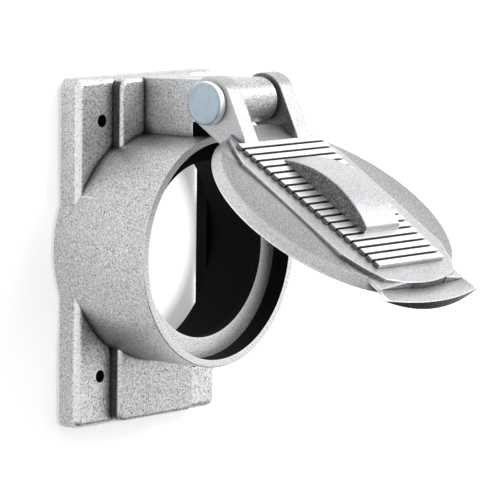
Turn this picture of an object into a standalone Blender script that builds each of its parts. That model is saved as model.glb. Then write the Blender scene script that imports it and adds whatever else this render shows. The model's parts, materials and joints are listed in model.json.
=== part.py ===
"""Cast lift-cover plate for a flanged power inlet: plate with a round collar, and a hinged lid.

Frame: X to the right seen from the front, Y into the wall, Z up.  The origin is on the collar's
axis, in the plate's back plane.  The lid stands open at REST_OPENING from its closed place.
"""
import math

import bmesh
import bpy
from mathutils import Euler, Vector

MM = 0.001
GAP = 0.3 * MM

# cover plate
PLATE_WIDTH = 71.4 * MM
PLATE_TOP = 56.7 * MM
PLATE_BOTTOM = -59.2 * MM
PLATE_THICKNESS = 8.2 * MM
PLATE_CORNER_RADIUS = 3.0 * MM
PLATE_EDGE_RADIUS = 2.6 * MM
POCKET_DEPTH = 5.0 * MM
POCKET_WALL = 1.6 * MM
PAD_HALF_WIDTH = 19.2 * MM
PAD_FACE = 12.5 * MM
PAD_TOP_MARGIN = 0.4 * MM
PAD_BOTTOM_MARGIN = 1.0 * MM
PAD_SKIN = 3.0 * MM
SCREW_X = 24.2 * MM
SCREW_Z = 42.5 * MM
SCREW_HOLE_RADIUS = 2.15 * MM
SCREW_BOSS_RADIUS = 4.8 * MM

# collar
COLLAR_RADIUS = 38.8 * MM
COLLAR_LENGTH = 39.5 * MM
BORE_RADIUS = 36.2 * MM
SHOULDER_FRONT = 32.6 * MM
SHOULDER_THICKNESS = 3.0 * MM
SHOULDER_RADIUS = 29.4 * MM

# hinge
HINGE_Y = -48.3 * MM
HINGE_Z = 50.4 * MM
BARREL_RADIUS = 7.45 * MM
BARREL_HALF_LENGTH = 8.6 * MM
WEB_HALF_WIDTH = 8.0 * MM
WEB_FRONT = 33.6 * MM
WEB_FLOOR = 37.2 * MM
PIN_RADIUS = 3.0 * MM
PIN_HOLE_RADIUS = 3.4 * MM
PIN_HEAD_RADIUS = 7.2 * MM
PIN_HEAD_THICKNESS = 3.1 * MM
RETAINER_RADIUS = 5.4 * MM
RETAINER_THICKNESS = 1.6 * MM
WASHER_RADIUS = 6.0 * MM
WASHER_THICKNESS = 0.8 * MM
EAR_INNER = BARREL_HALF_LENGTH + WASHER_THICKNESS + 2 * GAP
EAR_OUTER = 17.0 * MM
EAR_RADIUS = 8.8 * MM
EAR_FOOT = 22.0 * MM

# lid, in its closed place: v runs down from the hinge axis, w outwards from the wall
REST_OPENING = math.radians(57.5)
LID_CENTRE = HINGE_Z
LID_CREASE_RADIUS = 41.4 * MM
LID_CREASE = -4.8 * MM
LID_CROWN = -3.2 * MM
LID_RIM_RADIUS = 43.0 * MM
LID_RIM = -8.8 * MM
LID_HOLLOW_RADIUS = 40.3 * MM
LID_CEILING = -5.7 * MM
GASKET_SEAT = -6.5 * MM
GASKET_SEAT_RADIUS = 32.4 * MM
GASKET_FACE = -8.5 * MM
DECK_HALF_WIDTH = 25.8 * MM
DECK_FACE = -3.0 * MM
DECK_START = 9.2 * MM
DECK_END_RADIUS = 43.2 * MM
DECK_CORNER_POWER = 7
RIB_FACE = -1.5 * MM
RIB_PITCH = 3.31 * MM
RIB_COUNT = 20
RIB_GROOVE = 1.0 * MM
RIB_FIRST_GROOVE = 22.2 * MM
RIB_HALF_WIDTH_START = 21.2 * MM
RIB_HALF_WIDTH_END = 17.0 * MM
CREST_START = 29.3 * MM
CREST_END = 69.4 * MM
CREST_TOP = 5.1 * MM
CREST_PEAK = 51.5 * MM
CREST_ARCH_RADIUS = 40.0 * MM
CREST_HALF_WIDTH = 8.8 * MM
LIP_HALF_WIDTH = 24.0 * MM
LIP_CORNER = 96.9 * MM
LIP_END = 100.6 * MM
LIP_FACE = -5.4 * MM
LIP_UNDERSIDE = -8.7 * MM
LIP_CORNER_UNDERSIDE = -6.4 * MM

ROUND = 72
SMALL_ROUND = 32


def remove_everything():
    for item in list(bpy.data.objects):
        bpy.data.objects.remove(item, do_unlink=True)


def material(name, colour, metallic, roughness):
    made = bpy.data.materials.new(name)
    made.use_nodes = True
    shader = made.node_tree.nodes["Principled BSDF"]
    shader.inputs["Base Color"].default_value = (*colour, 1.0)
    shader.inputs["Metallic"].default_value = metallic
    shader.inputs["Roughness"].default_value = roughness
    return made


def add_object(name, mesh, guide=False):
    made = bpy.data.objects.new(name, mesh)
    bpy.context.scene.collection.objects.link(made)
    if guide:
        made.hide_render = True
        made.display_type = "WIRE"
    return made


def finish_mesh(name, built):
    bmesh.ops.remove_doubles(built, verts=built.verts, dist=1e-7)
    bmesh.ops.recalc_face_normals(built, faces=built.faces)
    mesh = bpy.data.meshes.new(name)
    built.to_mesh(mesh)
    built.free()
    mesh.shade_smooth()
    mesh.set_sharp_from_angle(angle=math.radians(30))
    return mesh


def loft(name, rings):
    """A closed solid through rings of points, each with the same number of points."""
    built = bmesh.new()
    rows = [[built.verts.new(point) for point in ring] for ring in rings]
    count = len(rows[0])
    for near, far in zip(rows, rows[1:]):
        for i in range(count):
            j = (i + 1) % count
            built.faces.new((near[i], near[j], far[j], far[i]))
    built.faces.new(rows[0])
    built.faces.new(rows[-1])
    return finish_mesh(name, built)


def turned(name, profile, centre_z=0.0, segments=ROUND):
    """A closed profile of (radius, y) points turned about the line along Y at height centre_z."""
    built = bmesh.new()
    rows = []
    for radius, y in profile:
        if radius < 1e-9:
            rows.append([built.verts.new((0.0, y, centre_z))] * segments)
            continue
        row = []
        for i in range(segments):
            angle = 2 * math.pi * i / segments
            row.append(built.verts.new((radius * math.cos(angle), y, centre_z + radius * math.sin(angle))))
        rows.append(row)
    for near, far in zip(rows, rows[1:] + rows[:1]):
        for i in range(segments):
            j = (i + 1) % segments
            corners = list(dict.fromkeys((near[i], near[j], far[j], far[i])))
            if len(corners) > 2:
                built.faces.new(corners)
    return finish_mesh(name, built)


def pin_shape(name, profile):
    """A closed profile of (radius, x) points turned about the X axis."""
    mesh = turned(name, profile, segments=SMALL_ROUND)
    mesh.transform(Euler((0.0, 0.0, -math.pi / 2)).to_matrix().to_4x4())
    return mesh


def combine(target, operand, operation):
    step = target.modifiers.new(operation.title(), "BOOLEAN")
    step.operation = operation
    step.solver = "EXACT"
    step.object = operand


def arc(centre, radius, start, end, steps):
    return [(centre[0] + radius * math.cos(start + (end - start) * i / steps),
             centre[1] + radius * math.sin(start + (end - start) * i / steps)) for i in range(steps + 1)]


def rounded_rectangle(left, right, low, high, radius, steps=4):
    corners = ((right, high, 0), (left, high, 1), (left, low, 2), (right, low, 3))
    outline = []
    for x, z, quarter in corners:
        centre = (x + (radius if x == left else -radius), z + (radius if z == low else -radius))
        start = quarter * math.pi / 2
        outline += arc(centre, radius, start, start + math.pi / 2, steps)
    return outline


def soft_slab(name, half_width, low, high, corner, back, front, edge, steps=3):
    """A slab between the planes y=back and y=-front, its front edges rounded by edge."""
    rings = [[(x, back, z) for x, z in rounded_rectangle(-half_width, half_width, low, high, corner)]]
    for i in range(steps + 1):
        angle = math.pi / 2 * i / steps
        inset = edge * (1 - math.cos(angle))
        y = -front + edge * (1 - math.sin(angle))
        outline = rounded_rectangle(inset - half_width, half_width - inset, low + inset, high - inset,
                                    max(corner - inset, 0.2 * MM))
        rings.append([(x, y, z) for x, z in outline])
    return loft(name, rings)


def across(name, outline, half_width):
    """A solid of a (y, z) outline, from x=-half_width to x=half_width."""
    return loft(name, [[(x, y, z) for y, z in outline] for x in (-half_width, half_width)])


# ---------------------------------------------------------------- cover plate

def web_outline():
    """Side view of the arm that carries the hinge barrel, over the collar."""
    barrel = arc((HINGE_Y, HINGE_Z), BARREL_RADIUS, math.pi / 2 + 0.03, 3 * math.pi / 2, 14)
    inside_pad = -PAD_FACE + 2 * MM
    return barrel + [(-WEB_FRONT, HINGE_Z - BARREL_RADIUS), (-WEB_FRONT, WEB_FLOOR), (inside_pad, WEB_FLOOR),
                     (inside_pad, PLATE_TOP - PAD_TOP_MARGIN)]


def cylinder_x(name, radius, half_length, segments=SMALL_ROUND):
    outline = arc((HINGE_Y, HINGE_Z), radius, 0, 2 * math.pi * (1 - 1 / segments), segments - 1)
    return across(name, outline, half_length)


def make_cover_plate(metal):
    half = PLATE_WIDTH / 2
    plate = add_object("cover_plate", soft_slab("cover_plate", half, PLATE_BOTTOM, PLATE_TOP,
                                                PLATE_CORNER_RADIUS, 0.0, PLATE_THICKNESS, PLATE_EDGE_RADIUS))
    plate.data.materials.append(metal)
    pad = soft_slab("pad", PAD_HALF_WIDTH, PLATE_BOTTOM + PAD_BOTTOM_MARGIN, PLATE_TOP - PAD_TOP_MARGIN,
                    3 * MM, -PLATE_THICKNESS / 2, PAD_FACE, 1.4 * MM)
    collar = turned("collar", [(0.0, 0.0), (COLLAR_RADIUS, 0.0), (COLLAR_RADIUS, -COLLAR_LENGTH),
                               (0.0, -COLLAR_LENGTH)])
    web = across("web", web_outline(), WEB_HALF_WIDTH)
    barrel = cylinder_x("barrel", BARREL_RADIUS, BARREL_HALF_LENGTH)
    for name, mesh in (("pad", pad), ("collar", collar), ("web", web), ("barrel", barrel)):
        combine(plate, add_object("guide_" + name, mesh, guide=True), "UNION")

    shoulder_back = -SHOULDER_FRONT + SHOULDER_THICKNESS
    past = 2 * MM
    bore = turned("bore", [(0.0, past - COLLAR_LENGTH - 2 * past), (BORE_RADIUS, past - COLLAR_LENGTH - 2 * past),
                           (BORE_RADIUS, -SHOULDER_FRONT), (SHOULDER_RADIUS, -SHOULDER_FRONT),
                           (SHOULDER_RADIUS, shoulder_back), (BORE_RADIUS, shoulder_back),
                           (BORE_RADIUS, -POCKET_DEPTH + 0.5 * MM), (0.0, -POCKET_DEPTH + 0.5 * MM)])
    pocket_outline = rounded_rectangle(POCKET_WALL - half, half - POCKET_WALL, PLATE_BOTTOM + 2 * POCKET_WALL,
                                       PLATE_TOP - 2 * POCKET_WALL, PLATE_CORNER_RADIUS - POCKET_WALL / 2)
    pocket = loft("pocket", [[(x, y, z) for x, z in pocket_outline] for y in (past, -POCKET_DEPTH)])
    hollow_half = PAD_HALF_WIDTH - PAD_SKIN
    hollow_outline = rounded_rectangle(-hollow_half, hollow_half, PLATE_BOTTOM + 2 * PAD_SKIN,
                                       PLATE_TOP - 2 * PAD_SKIN, 2 * MM)
    hollow = loft("pad_hollow", [[(x, y, z) for x, z in hollow_outline]
                                 for y in (-POCKET_DEPTH + MM, -PAD_FACE + PAD_SKIN)])
    for name, mesh in (("bore", bore), ("pocket", pocket), ("pad_hollow", hollow)):
        combine(plate, add_object("guide_" + name, mesh, guide=True), "DIFFERENCE")

    for side in (-1, 1):
        for end in (-1, 1):
            tag = ("left" if side < 0 else "right") + ("_low" if end < 0 else "_high")
            for kind, radius, back, operation in (("boss", SCREW_BOSS_RADIUS, 0.0, "UNION"),
                                                  ("hole", SCREW_HOLE_RADIUS, past, "DIFFERENCE")):
                front = -PLATE_THICKNESS + MM if kind == "boss" else -PLATE_THICKNESS - past
                outline = arc((side * SCREW_X, end * SCREW_Z), radius, 0, 2 * math.pi * 23 / 24, 23)
                mesh = loft(kind, [[(x, y, z) for x, z in outline] for y in (back, front)])
                combine(plate, add_object(f"guide_{kind}_{tag}", mesh, guide=True), operation)
    pin_bore = cylinder_x("pin_bore", PIN_HOLE_RADIUS, BARREL_HALF_LENGTH + past, 24)
    combine(plate, add_object("guide_pin_bore", pin_bore, guide=True), "DIFFERENCE")


# ---------------------------------------------------------------- lid

def lid_point(u, v, w):
    """Place in the lid's own frame: u across, v away from the hinge axis, w outwards."""
    return (u, -w, -v)


def lid_prism(name, outline, low, high):
    """A solid of a (u, v) outline between two heights w."""
    return loft(name, [[lid_point(u, v, w) for u, v in outline] for w in (low, high)])


def lid_disc():
    crown = [(0.0, LID_CROWN)]
    for i in range(1, 7):
        radius = LID_CREASE_RADIUS * i / 6
        crown.append((radius, LID_CROWN + (LID_CREASE - LID_CROWN) * (i / 6) ** 2))
    outline = crown + [(LID_RIM_RADIUS, LID_RIM + 0.6 * MM), (LID_RIM_RADIUS, LID_RIM), (0.0, LID_RIM)]
    return turned("disc", [(radius, -w) for radius, w in outline], -LID_CENTRE)


def deck_outline():
    """The flat deck: parallel sides that round over into the lid's edge at both ends."""
    stretch = 40
    right = []
    first = DECK_START
    last = LID_CENTRE + DECK_END_RADIUS
    for i in range(stretch + 1):
        angle = math.pi * i / stretch
        v = (first + last) / 2 - (last - first) / 2 * math.cos(angle)
        limit = LID_CREASE_RADIUS + (DECK_END_RADIUS - LID_CREASE_RADIUS) * i / stretch
        chord = math.sqrt(max(limit ** 2 - (v - LID_CENTRE) ** 2, 1e-12))
        power = -DECK_CORNER_POWER
        half = (chord ** power + DECK_HALF_WIDTH ** power) ** (1 / power)
        right.append((max(half, 1e-5), v))
    return right + [(-u, v) for u, v in reversed(right)]


def rib_outline():
    """Side view of the ribbed band, as (v, w) points."""
    start = RIB_FIRST_GROOVE - RIB_PITCH / 2
    end = start + RIB_PITCH * RIB_COUNT
    floor = DECK_FACE + 0.25 * MM
    points = [(start - RIB_PITCH / 2, DECK_FACE - MM), (start - RIB_PITCH / 2, RIB_FACE)]
    for i in range(RIB_COUNT - 1):
        centre = RIB_FIRST_GROOVE + RIB_PITCH * i
        half = RIB_GROOVE / 2
        points += [(centre - half, RIB_FACE), (centre - half, floor), (centre + half, floor),
                   (centre + half, RIB_FACE)]
    return points + [(end, RIB_FACE), (end, DECK_FACE - MM)]


def rib_band():
    rings = []
    for side in (-1, 1):
        ring = []
        for v, w in rib_outline():
            along = (v - RIB_FIRST_GROOVE) / (RIB_PITCH * (RIB_COUNT - 2))
            half = RIB_HALF_WIDTH_START + (RIB_HALF_WIDTH_END - RIB_HALF_WIDTH_START) * along
            ring.append(lid_point(side * half, v, w))
        rings.append(ring)
    return loft("ribs", rings)


def crest_outline():
    points = [(CREST_START, DECK_FACE - MM)]
    steps = 14
    for i in range(steps + 1):
        v = CREST_START + (CREST_END - CREST_START) * i / steps
        drop = CREST_ARCH_RADIUS - math.sqrt(CREST_ARCH_RADIUS ** 2 - (v - CREST_PEAK) ** 2)
        points.append((v, CREST_TOP - drop))
    return points + [(CREST_END, DECK_FACE - MM)]


def ear_outline():
    """Side view of an ear: round about the hinge axis, then a straight front edge to its foot."""
    foot = (EAR_FOOT, DECK_FACE - 0.4 * MM)
    reach = math.hypot(*foot)
    touch = math.atan2(foot[1], foot[0]) + math.acos(EAR_RADIUS / reach)
    top = arc((0.0, 0.0), EAR_RADIUS, touch, 3 * math.pi / 2, 18)
    return [foot] + top + [(14 * MM, -EAR_RADIUS), (EAR_FOOT, LID_CEILING)]


def ear(side):
    rings = []
    for u in (side * EAR_INNER, side * EAR_OUTER):
        rings.append([lid_point(u, v, w) for v, w in ear_outline()])
    return loft("ear", rings)


def lip():
    """The thumb lip past the lid's edge, thickest in the middle."""
    steps = 12
    rings = []
    for i in range(steps + 1):
        across_share = 2 * i / steps - 1
        u = LIP_HALF_WIDTH * across_share
        end = LIP_END - (LIP_END - LIP_CORNER) * across_share ** 2
        under = LIP_UNDERSIDE + (LIP_CORNER_UNDERSIDE - LIP_UNDERSIDE) * abs(across_share) ** 3
        rings.append([lid_point(u, 82 * MM, LIP_FACE), lid_point(u, end, LIP_FACE),
                      lid_point(u, end - 0.4 * MM, under), lid_point(u, 82 * MM, under)])
    return loft("lip", rings)


def make_lid(hinge, metal):
    lid = add_object("lid", lid_disc())
    lid.data.materials.append(metal)
    relief_half = EAR_INNER + 0.6 * MM
    relief = [(-relief_half, 0.0), (relief_half, 0.0), (relief_half, DECK_START - 0.2 * MM),
              (-relief_half, DECK_START - 0.2 * MM)]
    steps = [("relief", lid_prism("relief", relief, LID_RIM - MM, 0.0), "DIFFERENCE"),
             ("deck", lid_prism("deck", deck_outline(), LID_CEILING, DECK_FACE), "UNION"),
             ("lip", lip(), "UNION"),
             ("ear_left", ear(-1), "UNION"),
             ("ear_right", ear(1), "UNION"),
             ("ribs", rib_band(), "UNION"),
             ("crest", loft("crest", [[lid_point(u, v, w) for v, w in crest_outline()]
                                      for u in (-CREST_HALF_WIDTH, CREST_HALF_WIDTH)]), "UNION")]
    hollow = [(0.0, LID_CEILING), (GASKET_SEAT_RADIUS, LID_CEILING), (GASKET_SEAT_RADIUS, GASKET_SEAT),
              (LID_HOLLOW_RADIUS, GASKET_SEAT), (LID_HOLLOW_RADIUS, LID_RIM - MM), (0.0, LID_RIM - MM)]
    steps.append(("hollow", turned("hollow", [(radius, -w) for radius, w in hollow], -LID_CENTRE), "DIFFERENCE"))
    holes = arc((0.0, 0.0), PIN_HOLE_RADIUS, 0, 2 * math.pi * 23 / 24, 23)
    steps.append(("holes", across("holes", holes, EAR_OUTER + MM), "DIFFERENCE"))
    for name, mesh, operation in steps:
        guide = add_object("guide_lid_" + name, mesh, guide=True)
        guide.parent = hinge
        combine(lid, guide, operation)
    lid.parent = hinge


def make_lid_gasket(hinge, rubber):
    outer = LID_HOLLOW_RADIUS - GAP
    inner = GASKET_SEAT_RADIUS + 0.6 * MM
    back = GASKET_SEAT - GAP
    profile = [(inner, -back), (outer, -back), (outer, -GASKET_FACE), (inner, -GASKET_FACE)]
    gasket = add_object("lid_gasket", turned("lid_gasket", profile, -LID_CENTRE))
    gasket.data.materials.append(rubber)
    gasket.parent = hinge


def make_hinge_pin(hinge, steel):
    head = -EAR_OUTER - GAP
    tip = EAR_OUTER + GAP + RETAINER_THICKNESS + 0.8 * MM
    chamfer = 0.7 * MM
    outer = head - PIN_HEAD_THICKNESS
    profile = [(0.0, outer), (PIN_HEAD_RADIUS - chamfer, outer), (PIN_HEAD_RADIUS, outer + chamfer),
               (PIN_HEAD_RADIUS, head), (PIN_RADIUS, head), (PIN_RADIUS, tip - chamfer),
               (PIN_RADIUS - chamfer, tip), (0.0, tip)]
    pin = add_object("hinge_pin", pin_shape("hinge_pin", profile))
    pin.data.materials.append(steel)
    pin.parent = hinge


def make_ring(name, parent, finish, near, thickness, radius):
    """A flat ring on the hinge axis, between x=near and x=near+thickness."""
    profile = [(PIN_HOLE_RADIUS, near), (radius, near), (radius, near + thickness),
               (PIN_HOLE_RADIUS, near + thickness)]
    ring = add_object(name, pin_shape(name, profile))
    ring.data.materials.append(finish)
    ring.parent = parent


def main():
    remove_everything()
    aluminium = material("cast_aluminium", (0.62, 0.62, 0.63), 0.9, 0.5)
    steel = material("zinc_plated_steel", (0.48, 0.53, 0.57), 1.0, 0.35)
    spring_steel = material("spring_steel", (0.4, 0.4, 0.41), 1.0, 0.4)
    rubber = material("black_rubber", (0.02, 0.02, 0.02), 0.0, 0.8)
    make_cover_plate(aluminium)
    fixed_axis = add_object("hinge_axis", None)
    fixed_axis.location = (0.0, HINGE_Y, HINGE_Z)
    lid_axis = add_object("lid_axis", None)
    lid_axis.location = (0.0, HINGE_Y, HINGE_Z)
    lid_axis.rotation_euler = (-REST_OPENING, 0.0, 0.0)
    make_lid(lid_axis, aluminium)
    make_lid_gasket(lid_axis, rubber)
    make_hinge_pin(lid_axis, steel)
    make_ring("pin_retaining_ring", lid_axis, spring_steel, EAR_OUTER + GAP, RETAINER_THICKNESS, RETAINER_RADIUS)
    washer_near = BARREL_HALF_LENGTH + GAP
    make_ring("friction_washer_right", fixed_axis, spring_steel, washer_near, WASHER_THICKNESS, WASHER_RADIUS)
    make_ring("friction_washer_left", fixed_axis, spring_steel, -washer_near - WASHER_THICKNESS,
              WASHER_THICKNESS, WASHER_RADIUS)


main()
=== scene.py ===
"""Looks of a cast lift-cover plate with a hinged lid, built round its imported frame.

Run it as a script. Each operator below models one piece; main() calls them in order.
"""
import json
import math
from contextlib import contextmanager

import bmesh
import bpy
from bpy.props import FloatProperty, FloatVectorProperty, IntProperty, PointerProperty
from mathutils import Matrix, Vector


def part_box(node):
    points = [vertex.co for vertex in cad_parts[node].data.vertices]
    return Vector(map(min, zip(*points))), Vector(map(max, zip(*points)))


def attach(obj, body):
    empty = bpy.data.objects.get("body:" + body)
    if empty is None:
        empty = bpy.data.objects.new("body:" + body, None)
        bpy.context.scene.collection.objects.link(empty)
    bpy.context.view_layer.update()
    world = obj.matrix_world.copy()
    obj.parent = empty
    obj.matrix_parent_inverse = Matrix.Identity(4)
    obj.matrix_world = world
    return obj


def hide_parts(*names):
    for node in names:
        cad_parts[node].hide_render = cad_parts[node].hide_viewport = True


bl_info = {
    "name": "Lift-Cover Plate",
    "version": (1, 0, 0),
    "blender": (4, 5, 0),
    "location": "View3D > Sidebar > Lift Cover",
    "description": "Models a cast lift-cover plate, its hinged lid and a plain studio",
    "category": "Add Mesh",
}

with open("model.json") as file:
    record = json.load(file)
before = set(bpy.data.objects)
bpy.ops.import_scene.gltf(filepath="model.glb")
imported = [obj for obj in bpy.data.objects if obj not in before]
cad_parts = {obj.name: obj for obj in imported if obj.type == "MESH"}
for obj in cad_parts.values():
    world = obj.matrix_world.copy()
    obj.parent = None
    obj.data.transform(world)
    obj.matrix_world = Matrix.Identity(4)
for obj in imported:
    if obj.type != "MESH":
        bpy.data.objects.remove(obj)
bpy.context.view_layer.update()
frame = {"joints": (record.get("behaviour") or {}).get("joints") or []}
MM = 0.001
HINGE_JOINT = frame["joints"][0]
HINGE = Vector(HINGE_JOINT["pos_m"])
OPENING = -math.radians(HINGE_JOINT["range_deg"][0])
PLATE_LOW, PLATE_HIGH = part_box("cover_plate")
PIN_LOW, PIN_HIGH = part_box("hinge_pin")
RING_LOW, RING_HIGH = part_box("pin_retaining_ring")
WASHER_LOW, WASHER_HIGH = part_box("friction_washer_right")
PIN_HOLE = 3.4 * MM
EDGE_ANGLE = math.radians(34)
LID_OUT = Vector((0.0, -math.cos(OPENING), math.sin(OPENING)))
LID_DOWN = Vector((0.0, -math.sin(OPENING), -math.cos(OPENING)))


# ---------------------------------------------------------------- sizes and colours

def length(name, millimetres, description):
    return FloatProperty(name=name, description=description, default=millimetres * MM, min=0.0,
                         unit="LENGTH", precision=4)


def colour(name, value, description):
    return FloatVectorProperty(name=name, description=description, default=value, size=3, min=0.0,
                               max=1.0, subtype="COLOR")


class LiftCoverPlateSizes(bpy.types.PropertyGroup):
    """Sizes of the cast cover plate"""
    width: length("Plate Width", 71.4, "Width of the plate across its back plane")
    thickness: length("Plate Thickness", 8.2, "From the back plane to the plate's front face")
    corner: length("Corner Radius", 3.0, "Radius of the plate's four corners")
    edge: length("Edge Radius", 2.5, "Rounding of the plate's front edges")
    pad_half: length("Pad Half Width", 19.2, "Half the width of the raised centre pad")
    pad_face: length("Pad Face", 12.5, "From the back plane to the pad's face")
    collar: length("Collar Radius", 38.8, "Outer radius of the round collar")
    reach: length("Collar Length", 39.5, "From the back plane to the collar's rim")
    bore: length("Bore Radius", 36.2, "Inner radius of the collar")
    shoulder: length("Shoulder Radius", 29.4, "Radius of the opening in the inner shoulder")
    shoulder_front: length("Shoulder Front", 32.6, "From the back plane to the shoulder's front")
    shoulder_back: length("Shoulder Back", 29.6, "From the back plane to the shoulder's back")
    web_half: length("Arm Half Width", 8.0, "Half the width of the arm that carries the hinge")
    web_front: length("Arm Block Front", 33.6, "From the back plane to the arm block's front")
    barrel: length("Barrel Radius", 7.4, "Outer radius of the hinge barrel")
    barrel_half: length("Barrel Half Length", 8.6, "Half the length of the hinge barrel")
    screw_x: length("Screw Offset", 24.2, "From the middle to a screw hole, sideways")
    screw_z: length("Screw Height", 42.5, "From the middle to a screw hole, upwards")
    screw_hole: length("Screw Hole Radius", 2.15, "Radius of the screw holes")


class LiftCoverLidSizes(bpy.types.PropertyGroup):
    """Sizes of the lid, measured from the hinge axis with the lid shut"""
    crease: length("Crease Radius", 41.4, "Radius of the edge between crown and skirt")
    rim: length("Rim Radius", 43.0, "Outer radius of the skirt's rim")
    hollow: length("Hollow Radius", 40.3, "Radius inside the skirt")
    seat: length("Seat Radius", 32.4, "Inner radius of the gasket's seat")
    deck_half: length("Deck Half Width", 25.8, "Half the width of the flat deck")
    ear_in: length("Ear Inside", 10.0, "From the middle to an ear's inner face")
    ear_out: length("Ear Outside", 17.0, "From the middle to an ear's outer face")
    ear: length("Ear Radius", 8.75, "Radius of the ears about the hinge axis")
    rib_pitch: length("Rib Pitch", 3.31, "From one rib to the next")
    ribs: IntProperty(name="Ribs", description="Number of ribs across the deck", default=20, min=1)
    grip_half: length("Grip Half Width", 8.75, "Half the width of the arched grip bar")
    grip_arch: length("Grip Arch Radius", 40.0, "Radius of the grip bar's arch")


class LiftCoverFinish(bpy.types.PropertyGroup):
    """Colours of the metals, the rubber and the studio"""
    casting: colour("Casting", (0.51, 0.515, 0.525), "Tumbled die-cast aluminium of the plate")
    lid: colour("Lid", (0.53, 0.53, 0.545), "Die-cast aluminium of the lid")
    plating: colour("Pin Plating", (0.33, 0.40, 0.45), "Zinc plating of the pin")
    spring: colour("Spring Steel", (0.36, 0.36, 0.37), "Steel of the washers and the ring")
    rubber: colour("Rubber", (0.018, 0.018, 0.019), "Rubber of the gasket")
    paper: colour("Paper", (0.93, 0.93, 0.93), "Backdrop and floor")


# ---------------------------------------------------------------- modelling helpers

def deselect():
    bpy.ops.object.select_all(action="DESELECT")


def pick(piece):
    deselect()
    piece.select_set(True)
    bpy.context.view_layer.objects.active = piece


@contextmanager
def editing(piece, kind="EDGE"):
    """Edit mode on one piece, with nothing selected."""
    pick(piece)
    bpy.ops.object.mode_set(mode="EDIT")
    bpy.ops.mesh.select_mode(type=kind)
    bpy.ops.mesh.select_all(action="DESELECT")
    yield piece
    bpy.ops.object.mode_set(mode="OBJECT")


def applied(piece):
    pick(piece)
    bpy.ops.object.transform_apply(location=True, rotation=True, scale=True)
    return piece


def block(name, low, high):
    """A box between two corners."""
    low, high = Vector(low), Vector(high)
    deselect()
    bpy.ops.mesh.primitive_cube_add(size=1, location=(low + high) / 2)
    made = bpy.context.object
    made.name = name
    made.scale = high - low
    return applied(made)


TURN = {"X": (0, math.pi / 2, 0), "Y": (math.pi / 2, 0, 0), "Z": (0, 0, 0)}


def rod(name, radius, low, high, axis, centre=(0, 0, 0), sides=128):
    """A cylinder along an axis, from low to high on it."""
    place = Vector(centre)
    place["XYZ".index(axis)] = (low + high) / 2
    deselect()
    bpy.ops.mesh.primitive_cylinder_add(vertices=sides, radius=radius, depth=high - low,
                                        location=place, rotation=TURN[axis])
    made = bpy.context.object
    made.name = name
    return applied(made)


def turned(name, profile, axis, centre=(0, 0, 0), sides=128, solid=True):
    """A circle extruded through (radius, place) steps along an axis, then capped or closed on itself."""
    index = "XYZ".index(axis)
    stops = profile if solid else [*profile, profile[0]]
    radius, place = stops[0]
    spot = Vector(centre)
    spot[index] = place
    deselect()
    bpy.ops.mesh.primitive_circle_add(vertices=sides, radius=radius, location=spot, rotation=TURN[axis])
    made = bpy.context.object
    made.name = name
    applied(made)
    with editing(made):
        bpy.ops.mesh.select_all(action="SELECT")
        for next_radius, next_place in stops[1:]:
            step = Vector()
            step[index] = next_place - spot[index]
            bpy.ops.mesh.extrude_edges_move(TRANSFORM_OT_translate={"value": step})
            spot[index] = next_place
            ratio = [next_radius / radius] * 3
            ratio[index] = 1
            bpy.ops.transform.resize(value=ratio, center_override=spot)
            radius = next_radius
        bpy.ops.mesh.select_all(action="SELECT")
        bpy.ops.mesh.remove_doubles(threshold=0.001 * MM)
        if solid:
            bpy.ops.mesh.select_all(action="SELECT")
            bpy.ops.mesh.fill_holes(sides=0)
        bpy.ops.mesh.select_all(action="SELECT")
        bpy.ops.mesh.normals_make_consistent(inside=False)
    return made


def wrap(made):
    """Turns a piece into the convex solid round its points."""
    with editing(made, "VERT"):
        bpy.ops.mesh.select_all(action="SELECT")
        bpy.ops.mesh.convex_hull()
        bpy.ops.mesh.select_all(action="SELECT")
        bpy.ops.mesh.dissolve_limited(angle_limit=math.radians(0.1))
        bpy.ops.mesh.normals_make_consistent(inside=False)
    return made


def hull(name, points):
    """The convex solid round a few points."""
    deselect()
    bpy.ops.mesh.primitive_circle_add(vertices=len(points), radius=MM)
    made = bpy.context.object
    made.name = name
    applied(made)
    for vert, point in zip(made.data.vertices, points):
        vert.co = point
    return wrap(made)


def join(name, parts):
    deselect()
    for part in parts:
        part.select_set(True)
    bpy.context.view_layer.objects.active = parts[0]
    bpy.ops.object.join()
    parts[0].name = name
    return parts[0]


def copy_of(piece, name):
    made = piece.copy()
    made.data = piece.data.copy()
    made.name = name
    bpy.context.scene.collection.objects.link(made)
    return made


def combine(target, tools, operation):
    """Booleans that are applied at once; the tools are used up."""
    for tool in tools:
        step = target.modifiers.new(operation.title(), "BOOLEAN")
        step.operation = operation
        step.solver = "EXACT"
        step.object = tool
        pick(target)
        bpy.ops.object.modifier_apply(modifier=step.name)
        bpy.data.objects.remove(tool)
    return target


def bevel(piece, test, width, segments=3):
    """Rounds the edges that pass a test."""
    with editing(piece):
        built = bmesh.from_edit_mesh(piece.data)
        built.normal_update()
        chosen = [edge for edge in built.edges if test(edge)]
        if not chosen:
            raise RuntimeError(f"no edge of {piece.name} to round")
        for edge in chosen:
            edge.select_set(True)
        bmesh.update_edit_mesh(piece.data)
        bpy.ops.mesh.bevel(offset=width, segments=segments, affect="EDGES", clamp_overlap=True)
    return piece


def along(axis):
    """A test for edges that run along an axis."""
    index = "XYZ".index(axis)
    return lambda edge: abs((edge.verts[0].co - edge.verts[1].co).normalized()[index]) > 0.999


def at(axis, place, tolerance=0.02 * MM):
    """A test for edges or faces whose points all lie at one place on an axis."""
    index = "XYZ".index(axis)
    return lambda part: all(abs(vert.co[index] - place) < tolerance for vert in part.verts)


def bend_of(edge):
    """Angle between an edge's two faces: positive where it is convex, negative in a corner."""
    if len(edge.link_faces) != 2:
        return 0.0
    return edge.calc_face_angle_signed(0.0)


def sharp(edge):
    return bend_of(edge) > EDGE_ANGLE


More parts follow.
